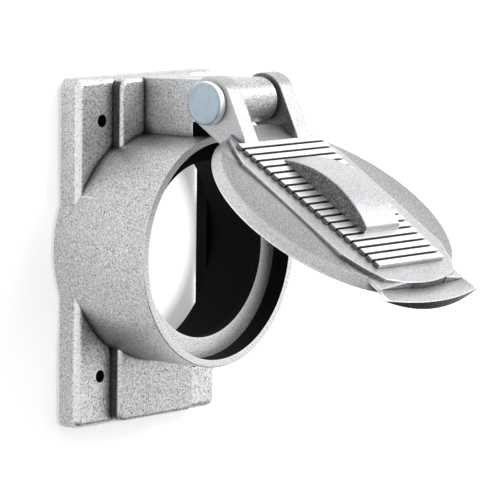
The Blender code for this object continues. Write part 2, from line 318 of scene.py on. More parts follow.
def hollow_corner(edge):
    return bend_of(edge) < -EDGE_ANGLE


def clean(piece):
    with editing(piece):
        bpy.ops.mesh.select_all(action="SELECT")
        bpy.ops.mesh.remove_doubles(threshold=0.004 * MM)
        bpy.ops.mesh.dissolve_limited(angle_limit=math.radians(0.05), delimit={"NORMAL"})
        bpy.ops.mesh.normals_make_consistent(inside=False)
    return piece


def finish_piece(name, piece, finish, body, node):
    """Smooth shading, true normals, material, and its place in the frame."""
    piece.name = name
    piece.data.name = name
    applied(piece)
    bpy.ops.object.shade_smooth_by_angle(angle=EDGE_ANGLE)
    for modifier in list(piece.modifiers):
        bpy.ops.object.modifier_apply(modifier=modifier.name)
    step = piece.modifiers.new("Normals", "WEIGHTED_NORMAL")
    step.keep_sharp = True
    bpy.ops.object.modifier_apply(modifier=step.name)
    piece.data.materials.clear()
    piece.data.materials.append(finish)
    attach(piece, body)
    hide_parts(node)
    return piece


def swing_open(piece):
    """Takes a piece modelled about the hinge axis, lid shut, to its place on the open lid."""
    piece.location = HINGE
    piece.rotation_euler = (-OPENING, 0.0, 0.0)
    return applied(piece)


# ---------------------------------------------------------------- materials

# Near white for edges with wear, for painted highlights and for the rib tops.
WORN_AND_HIGHLIGHT = (0.90, 0.90, 0.91)
# Painted shade: the near black that corners and hollows are painted with.
PAINTED_SHADE = (0.012, 0.012, 0.013)
# Painted shade: near black for the bore, the pocket and under the arm.
BORE_SHADE = (0.008, 0.008, 0.009)
COARSE_CONTRAST = 0.75
EAR_FOOT = (16 * MM, 19.5 * MM)
NEAR_PLATE = (-14 * MM, -13 * MM)

def group_socket(group, name, direction, kind="NodeSocketFloat", value=None):
    made = group.interface.new_socket(name=name, in_out=direction, socket_type=kind)
    if value is not None:
        made.default_value = value
    return made


def maths(tree, operation, first, second=None, clamp=False):
    node = tree.nodes.new("ShaderNodeMath")
    node.operation = operation
    node.use_clamp = clamp
    for index, value in enumerate((first, second)):
        if value is None:
            continue
        if isinstance(value, (int, float)):
            node.inputs[index].default_value = value
        else:
            tree.links.new(value, node.inputs[index])
    return node.outputs[0]


def new_group(name, inputs, outputs):
    """A node group that takes a vector and some numbers, and its input and output sockets."""
    tree = bpy.data.node_groups.new(name, "ShaderNodeTree")
    group_socket(tree, "Vector", "INPUT", "NodeSocketVector")
    for socket, value in inputs:
        group_socket(tree, socket, "INPUT", value=value)
    for socket in outputs:
        group_socket(tree, socket, "OUTPUT")
    return tree, tree.nodes.new("NodeGroupInput").outputs, tree.nodes.new("NodeGroupOutput").inputs


def product(tree, *values):
    """The values multiplied together."""
    result, *others = values
    for value in others:
        result = maths(tree, "MULTIPLY", result, value)
    return result


def largest(tree, *values):
    result, *others = values
    for value in others:
        result = maths(tree, "MAXIMUM", result, value)
    return result


def opposite(tree, mask):
    """1 less a mask."""
    return maths(tree, "SUBTRACT", 1.0, mask)


def size_of(tree, value):
    return maths(tree, "ABSOLUTE", value)


def apart(tree, vector):
    """A vector's X, Y and Z."""
    parts = tree.nodes.new("ShaderNodeSeparateXYZ")
    tree.links.new(vector, parts.inputs[0])
    return parts.outputs


def facing(tree):
    """X, Y and Z of the way the surface faces."""
    return apart(tree, tree.nodes.new("ShaderNodeTexCoord").outputs["Normal"])


def off_axis(tree, parts):
    """Distance from the collar's axis."""
    return maths(tree, "SQRT", maths(tree, "ADD", product(tree, parts["X"], parts["X"]),
                                     product(tree, parts["Z"], parts["Z"])))


def dot_with(tree, vector, direction):
    node = tree.nodes.new("ShaderNodeVectorMath")
    node.operation = "DOT_PRODUCT"
    tree.links.new(vector, node.inputs[0])
    node.inputs[1].default_value = direction
    return node.outputs["Value"]


def lid_level(tree, place):
    """Height over the hinge axis, square to the lid's face."""
    return maths(tree, "SUBTRACT", dot_with(tree, place, LID_OUT), HINGE.dot(LID_OUT))


def lid_run(tree, place):
    """Distance from the hinge axis along the lid, towards its lip."""
    return maths(tree, "SUBTRACT", dot_with(tree, place, LID_DOWN), HINGE.dot(LID_DOWN))


def noise(tree, place, scale, detail, roughness=0.5):
    node = tree.nodes.new("ShaderNodeTexNoise")
    tree.links.new(place, node.inputs["Vector"])
    if isinstance(scale, (int, float)):
        node.inputs["Scale"].default_value = scale
    else:
        tree.links.new(scale, node.inputs["Scale"])
    node.inputs["Detail"].default_value = detail
    node.inputs["Roughness"].default_value = roughness
    return node.outputs["Fac"]


def remap(tree, value, low, high, to_low, to_high):
    node = tree.nodes.new("ShaderNodeMapRange")
    tree.links.new(value, node.inputs["Value"])
    for name, number in (("From Min", low), ("From Max", high), ("To Min", to_low), ("To Max", to_high)):
        node.inputs[name].default_value = number
    return node.outputs["Result"]


def rises(tree, value, low, high, top=1.0):
    """A mask that goes from 0 at low to its top at high."""
    return remap(tree, value, low, high, 0.0, top)


def falls(tree, value, low, high, top=1.0):
    """A mask that goes from its top at low to 0 at high."""
    return remap(tree, value, low, high, top, 0.0)


def times(base, share):
    return tuple(value * share for value in base)


def cast_grain():
    """Node group: the pebbled skin of a casting, as a height, a tone, and masks of pits and clouds."""
    name = "Cast Grain"
    if name in bpy.data.node_groups:
        return bpy.data.node_groups[name]
    tree, given, out = new_group(name, [("Grain Scale", 1500.0)], ("Height", "Tone", "Pits", "Clouds"))
    place, scale = given["Vector"], given["Grain Scale"]
    fine = noise(tree, place, scale, 2.0, 0.6)
    pebble = noise(tree, place, product(tree, scale, 0.4), 2.0)
    cloud = noise(tree, place, product(tree, scale, 0.05), 3.0, 0.6)
    height = maths(tree, "ADD", product(tree, fine, 0.6), product(tree, pebble, 0.7))
    depth = maths(tree, "ADD", product(tree, fine, 0.7), product(tree, pebble, 0.3))
    for output, value in (("Height", height), ("Tone", rises(tree, fine, 0.32, 0.68)),
                          ("Pits", falls(tree, depth, 0.33, 0.41)),
                          ("Clouds", rises(tree, cloud, 0.35, 0.65))):
        tree.links.new(value, out[output])
    return tree


def edge_wear_and_highlight():
    """1 on outer edges with wear, which are also painted bright as a highlight, and 0 elsewhere, from how
    thin the metal is.
    """
    name = "Edge Wear"
    if name in bpy.data.node_groups:
        return bpy.data.node_groups[name]
    tree, given, out = new_group(name, [("Width", 0.9 * MM), ("Open", 1.0)], ["Mask"])
    thin = tree.nodes.new("ShaderNodeAmbientOcclusion")
    thin.inside = True
    thin.only_local = True
    thin.samples = 8
    tree.links.new(given["Width"], thin.inputs["Distance"])
    turned_by = rises(tree, thin.outputs["AO"], 0.86, 0.62)
    broken = remap(tree, noise(tree, given["Vector"], 700.0, 2.0), 0.3, 0.5, 0.55, 1.0)
    tree.links.new(product(tree, turned_by, broken, given["Open"]), out["Mask"])
    return tree


def principled(name, base, metallic, roughness):
    made = bpy.data.materials.new(name)
    made.use_nodes = True
    tree = made.node_tree
    shader = tree.nodes["Principled BSDF"]
    shader.inputs["Base Color"].default_value = (*base, 1.0)
    shader.inputs["Metallic"].default_value = metallic
    shader.inputs["Roughness"].default_value = roughness
    place = tree.nodes.new("ShaderNodeTexCoord").outputs["Object"]
    return made, tree, shader, place


def tint(tree, base, factor, dark, light):
    """The base colour from dark times to light times itself, by a factor."""
    mix = tree.nodes.new("ShaderNodeMix")
    mix.data_type = "RGBA"
    tree.links.new(factor, mix.inputs["Factor"])
    mix.inputs["A"].default_value = (*(min(1.0, value * dark) for value in base), 1.0)
    mix.inputs["B"].default_value = (*(min(1.0, value * light) for value in base), 1.0)
    return mix.outputs["Result"]


def add_bump(tree, shader, height, strength, distance):
    bump = tree.nodes.new("ShaderNodeBump")
    bump.inputs["Strength"].default_value = strength
    bump.inputs["Distance"].default_value = distance
    tree.links.new(height, bump.inputs["Height"])
    tree.links.new(bump.outputs["Normal"], shader.inputs["Normal"])
    return bump


def blend(tree, factor, first, second):
    """The first colour, turning into the second as the factor goes to 1."""
    mix = tree.nodes.new("ShaderNodeMix")
    mix.data_type = "RGBA"
    for name, value in (("Factor", factor), ("A", first), ("B", second)):
        if isinstance(value, tuple):
            mix.inputs[name].default_value = (*value, 1.0)
        else:
            tree.links.new(value, mix.inputs[name])
    return mix.outputs["Result"]


def group_node(tree, group, place):
    node = tree.nodes.new("ShaderNodeGroup")
    node.node_tree = group
    tree.links.new(place, node.inputs["Vector"])
    return node


def openness(tree, reach, low, high):
    """1 out in the open and 0 deep in corners."""
    cover = tree.nodes.new("ShaderNodeAmbientOcclusion")
    cover.samples = 8
    cover.only_local = True
    cover.inputs["Distance"].default_value = reach
    return rises(tree, cover.outputs["AO"], low, high)


def paint(tree, shader, shade, rough):
    tree.links.new(shade, shader.inputs["Base Color"])
    tree.links.new(rough, shader.inputs["Roughness"])


def cast_metal(name, base, grain, contrast, depth, shine, plate):
    """Die-cast aluminium: pebbled grain and dark pits, painted shade in corners, and edges with wear
    painted bright as a highlight; plate_colour and lid_colour add more painted light and shade.
    """
    made, tree, shader, place = principled(name, base, 0.9, shine)
    skin = group_node(tree, cast_grain(), place)
    skin.inputs["Grain Scale"].default_value = grain
    tone, pits = skin.outputs["Tone"], skin.outputs["Pits"]
    # Painted shade in corners: from ambient occlusion at several reaches on the plate, and at a short reach
    # on the lid.
    clear = unshaded_zone(tree, place) if plate else openness(tree, 1.6 * MM, 0.3, 0.7)
    wear = group_node(tree, edge_wear_and_highlight(), place)
    tree.links.new(clear, wear.inputs["Open"])
    edges = wear.outputs["Mask"]
    if plate:
        coarse_and_lit = coarse_and_lit_zone(tree, place)
        strength = remap(tree, coarse_and_lit, 0.0, 1.0, contrast, COARSE_CONTRAST)
        # Painted highlight along the plate's rounded outer edges, joined to the edge wear.
        wear_and_highlight = largest(tree, edges, product(tree, rounded_edge_highlight(tree, place),
                                            remap(tree, tone, 0.1, 0.6, 0.5, 1.0)))
        coloured = plate_colour(tree, place, base, coarse_and_lit)
    else:
        strength = contrast
        # Painted shade on the lid's side walls, the lip's end and the ears' inner faces, which get no edge
        # wear.
        shaded_faces = largest(tree, shaded_sides(tree, place), lip_end(tree, place))
        wear_and_highlight = product(tree, largest(tree, edges, rib_tops(tree, place)), opposite(tree, shaded_faces))
        coloured = lid_colour(tree, place, base, skin.outputs["Clouds"], shaded_faces)
    dark = product(tree, falls(tree, tone, 0.0, 0.85), strength)
    speckled = blend(tree, dark, coloured, times(base, 0.30))
    light = product(tree, maths(tree, "POWER", tone, 2.0), strength)
    lit = blend(tree, light, speckled, tuple(min(0.95, value) for value in times(base, 1.7)))
    pitted = blend(tree, product(tree, pits, strength), lit, times(base, 0.10))
    # Painted shade goes into the corners, then edge wear and painted highlights go near white.
    surface_colour = blend(tree, wear_and_highlight, blend(tree, opposite(tree, clear), pitted, PAINTED_SHADE), WORN_AND_HIGHLIGHT)
    rough = maths(tree, "ADD", product(tree, pits, 0.25), shine, clamp=True)
    bump = add_bump(tree, shader, skin.outputs["Height"], 1.0, depth)
    if plate:
        # Painted shade: the bore, the pocket, the shoulder's top and the face under the arm go near black.
        bore_shade = bore_shade_zone(tree, place)
        surface_colour = blend(tree, bore_shade, surface_colour, BORE_SHADE)
        rough = maths(tree, "ADD", rough, product(tree, bore_shade, 0.4), clamp=True)
        tree.links.new(maths(tree, "ADD", product(tree, coarse_and_lit, 0.75), 0.25), bump.inputs["Strength"])
    paint(tree, shader, surface_colour, maths(tree, "SUBTRACT", rough, product(tree, edges, 0.1)))
    return made


def plate_colour(tree, place, base, coarse_and_lit):
    """The plate's metal, with painted light: its front faces, rim and shoulder painted brighter as front
    light, less so low on the pad as painted shade.
    """
    bright = tint(tree, base, largest(tree, coarse_and_lit, shoulder_zone(tree, place)), 1.0, 2.0)
    parts = apart(tree, place)
    # Painted shade: low on the pad the painted front light fades back.
    shaded_low_pad = product(tree, falls(tree, parts["Z"], -37 * MM, -34 * MM, 0.6),
                      falls(tree, parts["Y"], -12.2 * MM, -11.5 * MM))
    return blend(tree, product(tree, shaded_low_pad, coarse_and_lit), bright, tuple(base))


def lid_colour(tree, place, base, clouds, shaded_faces):
    """The lid's metal, with painted shade: darker on its side walls and the lip's end, its crown, the lip
    by the deck, and the ears.
    """
    run = lid_run(tree, place)
    near_deck = product(tree, rises(tree, run, 90.5 * MM, 91.5 * MM),
                        falls(tree, run, 93 * MM, 98 * MM, 0.55))
    lip_shade_by_deck = product(tree, falls(tree, lid_level(tree, place), -5.2 * MM, -5.0 * MM), near_deck)
    coloured = tint(tree, base, clouds, 0.95, 1.05)
    # Painted shade: side walls, the crown beside the deck, the lip next to the deck and the ears are
    # darkened.
    for zone, share in ((shaded_faces, 0.12), (crown_zone(tree, place), 0.3), (lip_shade_by_deck, 0.15),
                        (falls(tree, run, *EAR_FOOT, 0.35), 0.3)):
        coloured = blend(tree, zone, coloured, times(base, share))
    return coloured


def rounded_edge_highlight(tree, place):
    """Painted highlight: 1 along the plate's rounded outer edges, where the sides turn to the front."""
    parts, turns = apart(tree, place), facing(tree)
    sides = largest(tree, size_of(tree, turns["X"]), size_of(tree, turns["Z"]))
    lean = product(tree, sides, size_of(tree, turns["Y"]))
    away = remap(tree, size_of(tree, parts["X"]), 31.5 * MM, 33 * MM, 0.3, 1.0)
    return product(tree, rises(tree, lean, 0.15, 0.42, 0.9), rises(tree, parts["Y"], *NEAR_PLATE), away)


def shoulder_zone(tree, place):
    """1 on the collar's rim and inner shoulder, which face the front and are painted brighter as front
    light.
    """
    parts = apart(tree, place)
    return product(tree, rises(tree, parts["Y"], -31.6 * MM, -32.2 * MM),
                   falls(tree, parts["Z"], 37.5 * MM, 38.9 * MM),
                   falls(tree, facing(tree)["Y"], -0.9, -0.6))


def shaded_sides(tree, place):
    """Painted shade: 1 on the sides of the grip bar and the deck and the ends of the ribs, which face
    sideways and are painted dark as shade.
    """
    level, across = lid_level(tree, place), size_of(tree, apart(tree, place)["X"])
    side = product(tree, rises(tree, size_of(tree, facing(tree)["X"]), 0.55, 0.9),
                   rises(tree, lid_run(tree, place), *EAR_FOOT))
    ribs = product(tree, rises(tree, level, -2.95 * MM, -2.85 * MM),
                   falls(tree, across, 21.4 * MM, 21.6 * MM))
    deck = product(tree, rises(tree, level, -5.1 * MM, -4.9 * MM),
                   falls(tree, across, 25.7 * MM, 25.9 * MM))
    return largest(tree, product(tree, ribs, side), product(tree, deck, side))


def lip_end(tree, place):
    """Painted shade: 1 on the end of the thumb lip, which faces down, and on the inner faces of the ears.
    """
    run = lid_run(tree, place)
    normal = tree.nodes.new("ShaderNodeTexCoord").outputs["Normal"]
    end = product(tree, rises(tree, dot_with(tree, normal, LID_DOWN), 0.45, 0.7),
                  rises(tree, run, 92 * MM, 93 * MM))
    ears = product(tree, falls(tree, size_of(tree, apart(tree, place)["X"]), 10.1 * MM, 10.3 * MM),
                   rises(tree, size_of(tree, facing(tree)["X"]), 0.7, 0.9), falls(tree, run, *EAR_FOOT))
    return largest(tree, end, ears)


def crown_zone(tree, place):
    """Painted shade: over half on the crown beside the deck, a little more towards the lid's edge."""
    across = size_of(tree, apart(tree, place)["X"])
    return product(tree, rises(tree, across, 25.8 * MM, 25.9 * MM),
                   remap(tree, across, 27 * MM, 38 * MM, 0.6, 0.75),
                   rises(tree, lid_level(tree, place), -5.0 * MM, -4.7 * MM))


def rib_tops(tree, place):
    """1 on the tops of the ribs, which are painted near white."""
    level = lid_level(tree, place)
    return product(tree, rises(tree, level, -1.72 * MM, -1.6 * MM, 0.85),
                   falls(tree, level, -1.45 * MM, -1.35 * MM), rises(tree, lid_run(tree, place), *EAR_FOOT))


def unshaded_zone(tree, place):
    """Painted shade: 0 in the corners of the plate, the arm and the pad's sides, which are painted dark as
    shade, and 1 out in the open and inside the collar.
    """
    parts, turns = apart(tree, place), facing(tree)
    outside = rises(tree, off_axis(tree, parts), 38.0 * MM, 38.6 * MM)
    wall = product(tree, rises(tree, turns["Y"], -0.6, -0.2), outside)
    near = opposite(tree, openness(tree, 6 * MM, 0.55, 0.95))
    corner = product(tree, opposite(tree, openness(tree, 2 * MM, 0.35, 0.75)), outside)
    broad = product(tree, opposite(tree, openness(tree, 26 * MM, 0.2, 0.85)), 0.9)
    pad = product(tree, falls(tree, size_of(tree, parts["X"]), 19.6 * MM, 19.8 * MM, 0.9),
                  rises(tree, parts["Y"], -12.0 * MM, -11.5 * MM),
                  rises(tree, size_of(tree, turns["X"]), 0.5, 0.8))
    return opposite(tree, largest(tree, product(tree, largest(tree, near, broad, pad), wall), corner))


def coarse_and_lit_zone(tree, place):
    """1 on the plate's and the pad's faces, which keep the coarsest skin and are painted brighter as front
    light, and 0 elsewhere.
    """
    return product(tree, rises(tree, apart(tree, place)["Y"], *NEAR_PLATE),
                   falls(tree, facing(tree)["Y"], -0.85, -0.35))


def bore_shade_zone(tree, place):
    """Painted shade: 1 on the walls inside the collar and the pocket, the shoulder's top and under the arm,
    all painted near black as shade.
    """
    parts, turn = apart(tree, place), facing(tree)["Y"]
    across = size_of(tree, parts["X"])
    inside = falls(tree, off_axis(tree, parts), 36.3 * MM, 36.4 * MM)
    collar = product(tree, inside, largest(tree, rises(tree, turn, -0.85, -0.45),
                                           rises(tree, parts["Y"], -31.5 * MM, -31.0 * MM)))
    height = size_of(tree, maths(tree, "ADD", parts["Z"], 1.8 * MM))
    core = product(tree, falls(tree, across, 16.3 * MM, 16.4 * MM),
                   rises(tree, parts["Y"], -9.7 * MM, -9.6 * MM))
    pocket = product(tree, falls(tree, across, 34.3 * MM, 34.4 * MM),
                     falls(tree, height, 55.2 * MM, 55.3 * MM),
                     largest(tree, rises(tree, parts["Y"], -7.05 * MM, -7.0 * MM), core))
    under_arm = product(tree, rises(tree, parts["Z"], 10 * MM, 20 * MM),
                        rises(tree, parts["Y"], -34.2 * MM, -33.9 * MM), falls(tree, turn, -0.85, -0.45),
                        rises(tree, parts["Y"], -32 * MM, -32.4 * MM))
    return largest(tree, collar, pocket, under_arm)


def plated_steel(name, base):
    """Zinc-plated steel with a faint cloudy sheen, and a painted highlight near white round the head's rim.
    """
    made, tree, shader, place = principled(name, base, 0.85, 0.42)
    cloud = noise(tree, place, 260.0, 3.0)
    clouded = tint(tree, base, rises(tree, cloud, 0.35, 0.65), 0.92, 1.1)
    across = apart(tree, place)["X"]
    # Painted highlight: the head's rim goes near white.
    rim_highlight = product(tree, rises(tree, across, PIN_LOW.x + 0.35 * MM, PIN_LOW.x + 0.8 * MM),
                         falls(tree, across, -17.2 * MM, -17.0 * MM))
    paint(tree, shader, blend(tree, rim_highlight, clouded, (0.92, 0.93, 0.93)),
          remap(tree, cloud, 0.3, 0.7, 0.36, 0.5))
    add_bump(tree, shader, noise(tree, place, 3000.0, 2.0), 0.4, 0.02 * MM)
    return made


def brushed_spring(name, base):
    """Spring steel with a fine mottle of turning marks."""
    made, tree, shader, place = principled(name, base, 1.0, 0.35)
    marks = noise(tree, place, 2200.0, 2.0)
    paint(tree, shader, tint(tree, base, marks, 0.8, 1.2), remap(tree, marks, 0.3, 0.7, 0.28, 0.45))
    add_bump(tree, shader, marks, 0.5, 0.02 * MM)
    return made


def moulded_rubber(name, base):
    """Matt black rubber with a faint bloom."""
    made, tree, shader, place = principled(name, base, 0.0, 0.75)
    bloom = noise(tree, place, 180.0, 4.0)
    paint(tree, shader, tint(tree, base, rises(tree, bloom, 0.4, 0.7), 0.8, 1.9),
          remap(tree, bloom, 0.3, 0.7, 0.66, 0.85))
    add_bump(tree, shader, noise(tree, place, 2600.0, 2.0), 0.5, 0.03 * MM)
    return made


def finish_named(name):
    """The object's materials, each made once."""
    if name in bpy.data.materials:
        return bpy.data.materials[name]
    look = bpy.context.scene.lift_cover_finish
    makers = {
        "tumbled_casting": lambda: cast_metal(name, look.casting, 1900.0, 0.6, 0.18 * MM, 0.40, True),
        "lid_casting": lambda: cast_metal(name, look.lid, 2000.0, 0.30, 0.09 * MM, 0.40, False),
        "pin_plating": lambda: plated_steel(name, look.plating),
        "washer_steel": lambda: brushed_spring(name, look.spring),
        "gasket_rubber": lambda: moulded_rubber(name, look.rubber),
    }
    return makers[name]()


# ---------------------------------------------------------------- pieces

class LIFTCOVER_OT_cover_plate(bpy.types.Operator):
    """Model the cast cover plate with its collar, shoulder, arm and hinge barrel"""
    bl_idname = "lift_cover.cover_plate"
    bl_label = "Cover Plate"

    def slab(self, name, half, low, high, back, front, corner, edge):
        made = block(name, (-half, -front, low), (half, -back, high))
        bevel(made, along("Y"), corner, 6)
        bevel(made, at("Y", -front), edge, 5)
        return made

    def arm(self, size):
        """The arm over the collar: a block on the pad, and a bar forward to the hinge barrel."""
        half = size.web_half
        inside_pad = -size.pad_face + 2 * MM
        low = HINGE.z - size.barrel
        high = HINGE.z + size.barrel
        made = block("arm", (-half, -size.web_front, 37.2 * MM), (half, inside_pad, high))
        bar = block("bar", (-half, HINGE.y, low), (half, -size.web_front + 2 * MM, high))
        for part in (made, bar):
            drop_scale = 1.5 * MM / (inside_pad - HINGE.y)
            for vert in part.data.vertices:
                if vert.co.z > high - 0.1 * MM:
                    vert.co.z -= (vert.co.y - HINGE.y) * drop_scale
        barrel = rod("barrel", size.barrel, -size.barrel_half, size.barrel_half, "X", HINGE, 96)
        return [made, bar, barrel]

    def execute(self, context):
        size = context.scene.lift_cover_plate
        half = size.width / 2
        top = PLATE_HIGH.z - 1.15 * MM
        plate = self.slab("plate", half, PLATE_LOW.z, top, 0.0, size.thickness, size.corner, size.edge)
        pad = self.slab("pad", size.pad_half, PLATE_LOW.z + 1 * MM, top - 0.4 * MM, 4 * MM, size.pad_face,
                        3 * MM, 1.6 * MM)
        collar = rod("collar", size.collar, -size.reach, 0.0, "Y", sides=256)
        combine(plate, [pad, collar] + self.arm(size), "UNION")
        clean(plate)
        bevel(plate, hollow_corner, 0.9 * MM, 3)
        bevel(plate, lambda edge: sharp(edge) and at("Y", -size.reach)(edge), 0.5 * MM, 3)
        self.cut_hollows(plate, size, half, top)
        finish_piece("cover_casting", plate, finish_named("tumbled_casting"), "plate",
                     "cover_plate")
        return {"FINISHED"}

    def cut_hollows(self, plate, size, half, top):
        past = 3 * MM
        recess = rod("recess", size.bore, -size.reach - past, -size.shoulder_front, "Y", sides=256)
        mouth = rod("mouth", size.shoulder, -size.reach, past, "Y", sides=256)
        bore = rod("bore", size.bore, -size.shoulder_back, -4.5 * MM, "Y", sides=256)
        wall = 1.6 * MM
        pocket = block("pocket", (wall - half, -5 * MM, PLATE_LOW.z + 2 * wall),
                       (half - wall, past, top - 2 * wall))
        bevel(pocket, along("Y"), 2.2 * MM, 4)
        inner = size.pad_half - 3 * MM
        hollow = block("hollow", (-inner, -9.5 * MM, PLATE_LOW.z + 6 * MM), (inner, -4 * MM, top - 6 * MM))
        bevel(hollow, along("Y"), 2 * MM, 3)
        combine(plate, [recess, mouth, bore, pocket, hollow], "DIFFERENCE")
        bosses = []
        holes = []
        for side in (-1, 1):
            for end in (-1, 1):
                centre = (side * size.screw_x, 0.0, end * size.screw_z)
                bosses.append(rod("boss", 4.8 * MM, -size.thickness + 1 * MM, 0.0, "Y", centre, 48))
                holes.append(rod("hole", size.screw_hole, -size.thickness - past, past, "Y", centre, 48))
        combine(plate, bosses, "UNION")
        combine(plate, holes, "DIFFERENCE")
        pin = rod("pin", PIN_HOLE, -size.barrel_half - past, size.barrel_half + past, "X", HINGE, 48)
        combine(plate, [pin], "DIFFERENCE")
        clean(plate)


def lid_point(u, v, w):
    """Lid shut, about the hinge axis: u across, v away from the axis, w outwards."""
    return (u, -w, -v)


def lid_block(name, low, high):
    """A box given by two (u, v, w) corners."""
    a, b = lid_point(*low), lid_point(*high)
    return block(name, [min(pair) for pair in zip(a, b)], [max(pair) for pair in zip(a, b)])


class LIFTCOVER_OT_lid(bpy.types.Operator):
    """Model the cast lid with its deck, ribs, grip bar, ears and thumb lip"""
    bl_idname = "lift_cover.lid"
    bl_label = "Lid"

    RIM = -8.8 * MM
    SKIRT_EDGE = -8.2 * MM
    CREASE = -4.8 * MM
    CROWN = -3.2 * MM
    DECK = -3.0 * MM
    CEILING = -5.7 * MM
    SEAT = -6.5 * MM
    DECK_START = 9.2 * MM
    DECK_END = 93.6 * MM
    OVAL = 47.9 * MM
    OVAL_SQUASH = 0.622
    RIB_TOP = -1.5 * MM
    FIRST_RIB = 20.55 * MM
    LIP_TOP = -5.3 * MM
    LIP_LOW = -8.4 * MM
    LIP_END = 100.5 * MM

    def disc(self, size):
        """The shallow crown, the crease and the flared skirt."""
        profile = [(size.rim - 0.3 * MM, -self.RIM), (size.rim, -self.RIM - 0.3 * MM),
                   (size.rim, -self.SKIRT_EDGE), (size.crease + 0.08 * MM, -self.CREASE + 0.25 * MM),
                   (size.crease - 0.2 * MM, -self.CREASE - 0.04 * MM)]
        for i in range(9, 0, -1):
            share = i / 10
            profile.append((size.crease * share, -self.CROWN + (self.CROWN - self.CREASE) * share ** 2))
        return turned("disc", profile, "Y", (0, 0, -HINGE.z), 256)

    def deck(self, size):
        """The flat deck: straight sides that round over into the lid's edge at both ends."""
        middle = (self.DECK_START + self.DECK_END) / 2
        radius = (self.DECK_END - self.DECK_START) / 2
        made = rod("deck", radius, -self.DECK, -self.CEILING, "Y", (0, 0, -middle), 256)
        slab = lid_block("slab", (-size.deck_half, 0, self.CEILING - MM), (size.deck_half, 0.12, 0))
        oval = rod("oval", self.OVAL, 0, 12 * MM, "Y", sides=256)
        oval.scale.x = self.OVAL_SQUASH
        oval.location.z = -middle
        combine(made, [slab, applied(oval)], "INTERSECT")
        clean(made)
        return bevel(made, at("Y", -self.DECK), 0.35 * MM, 3)

    def lip(self):
        """The thumb lip past the lid's edge, a crescent seen from its end, and its two gussets."""
        half, plan_arc, belly_arc = 24.6 * MM, 85 * MM, 110 * MM
        made = lid_block("lip", (-half, 82 * MM, self.LIP_LOW), (half, self.LIP_END, self.LIP_TOP))
        plan = rod("plan", plan_arc, 0, 12 * MM, "Y", (0, 0, plan_arc - self.LIP_END), 512)
        belly = rod("belly", belly_arc, -110 * MM, -70 * MM, "Z", (0, -self.LIP_LOW - belly_arc, 0), 512)
        combine(made, [plan, belly], "INTERSECT")
        outline = ((21.6, 80), (21.6, 91.7), (24.9, 96.4), (27, 96.4), (27, 80))
        for side in (-1, 1):
            notch = hull("notch", [lid_point(side * u * MM, v * MM, w * MM)
                                   for w in (-12, 0) for u, v in outline])
            combine(made, [notch], "DIFFERENCE")
        clean(made)
        bevel(made, lambda edge: sharp(edge) and edge.verts[0].co.z < -93 * MM, 0.25 * MM, 2)
        corners = [(21.6, 84.5, -4.75), (10.5, 92.6, -3.05), (21.6, 91.9, -5.0), (10, 84.5, -3.05),
                   (21.6, 84.5, -6.2), (10.5, 92.6, -6.2), (21.6, 91.9, -6.2), (10, 84.5, -6.2)]
        gussets = [hull("gusset", [lid_point(side * u * MM, v * MM, w * MM) for u, v, w in corners])
                   for side in (-1, 1)]
        return combine(made, gussets, "UNION")

    def ear(self, size, side):
        """One ear: round about the pin, with a straight front edge down to its foot on the deck."""
        low, high = sorted((side * size.ear_in, side * size.ear_out))
        made = rod("ear", size.ear, low, high, "X", sides=96)
        foot = [(22 * MM, -3.4 * MM), (22 * MM, -5.7 * MM), (14 * MM, -size.ear)]
        heel = hull("heel", [lid_point(u, v, w) for u in (low, high) for v, w in foot])
        made = wrap(join("ear", [made, heel]))
        return bevel(made, lambda edge: sharp(edge) and not along("X")(edge), 0.55 * MM, 3)

    def rib_field(self, size):
        """One rounded rib, copied down the deck and narrowed towards the lip."""
        half = (size.rib_pitch - 0.95 * MM) / 2
        rib = lid_block("rib", (-21.2 * MM, -half, self.DECK - 0.5 * MM), (21.2 * MM, half, self.RIB_TOP))
        bevel(rib, at("Y", -self.RIB_TOP), 0.28 * MM, 2)
        ribs = [rib]
        for i in range(1, size.ribs):
            made = copy_of(rib, "rib")
            made.scale.x = 1 - 0.198 * i / (size.ribs - 1)
            made.location.z = -size.rib_pitch * i
            ribs.append(applied(made))
        field = join("ribs", ribs)
        field.location.z = -self.FIRST_RIB
        return applied(field)

    def grip(self, size):
        """The arched grip bar across the middle of the ribs."""
        top, peak, radius = 5.1 * MM, 51.5 * MM, size.grip_arch
        made = lid_block("grip", (-size.grip_half, 29.3 * MM, self.DECK - 0.6 * MM),
                         (size.grip_half, 69.4 * MM, top))
        arch = rod("arch", radius, -size.grip_half - MM, size.grip_half + MM, "X",
                   lid_point(0, peak, top - radius), 256)
        combine(made, [arch], "INTERSECT")
        clean(made)
        return bevel(made, lambda edge: sharp(edge) and not along("Y")(edge)
                     and edge.verts[0].co.y + edge.verts[1].co.y < 2 * 2.4 * MM, 0.7 * MM, 4)

    def execute(self, context):
        size = context.scene.lift_cover_lid
        lid = self.disc(size)
        past = 1 * MM
        relief = lid_block("relief", (-size.ear_in - 0.6 * MM, -past, self.RIM - past),
                           (size.ear_in + 0.6 * MM, self.DECK_START - 0.2 * MM, 0))
        combine(lid, [relief], "DIFFERENCE")
        deck = combine(self.deck(size), [self.rib_field(size), self.grip(size)], "UNION")
        combine(lid, [deck, self.lip()], "UNION")
        combine(lid, [self.ear(size, -1), self.ear(size, 1)], "UNION")
        floor = -self.RIM + past
        hollow = rod("hollow", size.hollow, -self.SEAT, floor, "Y", (0, 0, -HINGE.z), 256)
        ceiling = rod("ceiling", size.seat, -self.CEILING, floor, "Y", (0, 0, -HINGE.z), 256)
        holes = rod("holes", PIN_HOLE, -size.ear_out - past, size.ear_out + past, "X", sides=64)
        combine(lid, [hollow, ceiling, holes], "DIFFERENCE")
        clean(lid)
        swing_open(lid)
        finish_piece("lid_casting", lid, finish_named("lid_casting"), "lid", "lid")
        return {"FINISHED"}


